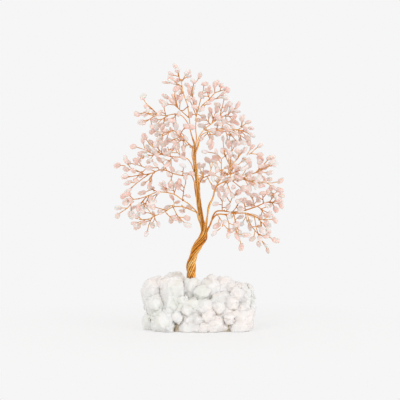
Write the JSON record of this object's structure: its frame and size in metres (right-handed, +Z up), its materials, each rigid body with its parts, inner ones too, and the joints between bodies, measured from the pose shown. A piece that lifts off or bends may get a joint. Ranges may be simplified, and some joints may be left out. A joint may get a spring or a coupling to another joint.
{
  "type": "gemstone tree ornament",
  "caption": "Free-standing ornament: a small wire tree whose twigs each carry a drilled stone chip, set in a rough cluster of quartz crystals with a flat underside.",
  "frame": {"origin": "centre of the flat sawn underside of the quartz base", "axes": "+Z up along the tree's height, +X to the right and -Y towards the viewer, as seen from the front"},
  "size_m": [0.1562, 0.0786, 0.2452],
  "materials": {
    "copper_wire": "bright copper-gold wire",
    "rose_quartz": "tumbled and polished, translucent pale pink",
    "milky_quartz": "rough natural faces, milky white",
    "matrix_rock": "rough, tan and brown",
    "glue": "clear-drying glue, hidden in the socket"
  },
  "bodies": {
    "root": {"crown_right_chips": "rose_quartz", "crown_right_stem": "copper_wire", "crown_right_twigs": "copper_wire", "crown_tip_chips": "rose_quartz", "crown_tip_stem": "copper_wire", "crown_tip_twigs": "copper_wire", "crystal_centre_lump": "milky_quartz", "crystal_far_left": "milky_quartz", "crystal_left_back": "milky_quartz", "crystal_left_block": "milky_quartz", "crystal_right_block": "milky_quartz", "crystal_right_end": "milky_quartz", "crystal_right_peak": "milky_quartz", "crystal_right_ridge": "milky_quartz", "crystals_back": "milky_quartz", "crystals_front": "milky_quartz", "glue_plug": "glue", "high_left_chips": "rose_quartz", "high_left_stem": "copper_wire", "high_left_twigs": "copper_wire", "left_reach_chips": "rose_quartz", "left_reach_stem": "copper_wire", "left_reach_twigs": "copper_wire", "low_left_chips": "rose_quartz", "low_left_stem": "copper_wire", "low_left_twigs": "copper_wire", "low_left_under_chips": "rose_quartz", "low_left_under_stem": "copper_wire", "low_left_under_twigs": "copper_wire", "matrix_bed": "matrix_rock", "middle_left_chips": "rose_quartz", "middle_left_stem": "copper_wire", "middle_left_twigs": "copper_wire", "middle_right_chips": "rose_quartz", "middle_right_stem": "copper_wire", "middle_right_twigs": "copper_wire", "right_crest_chips": "rose_quartz", "right_crest_stem": "copper_wire", "right_crest_twigs": "copper_wire", "right_high_chips": "rose_quartz", "right_high_stem": "copper_wire", "right_high_twigs": "copper_wire", "right_low_chips": "rose_quartz", "right_low_stem": "copper_wire", "right_low_twigs": "copper_wire", "right_lowest_chips": "rose_quartz", "right_lowest_stem": "copper_wire", "right_lowest_twigs": "copper_wire", "right_middle_chips": "rose_quartz", "right_middle_stem": "copper_wire", "right_middle_twigs": "copper_wire", "small_crystals": "milky_quartz", "upper_left_chips": "rose_quartz", "upper_left_stem": "copper_wire", "upper_left_twigs": "copper_wire", "upper_right_chips": "rose_quartz", "upper_right_stem": "copper_wire", "upper_right_twigs": "copper_wire"}
  },
  "joints": []
}
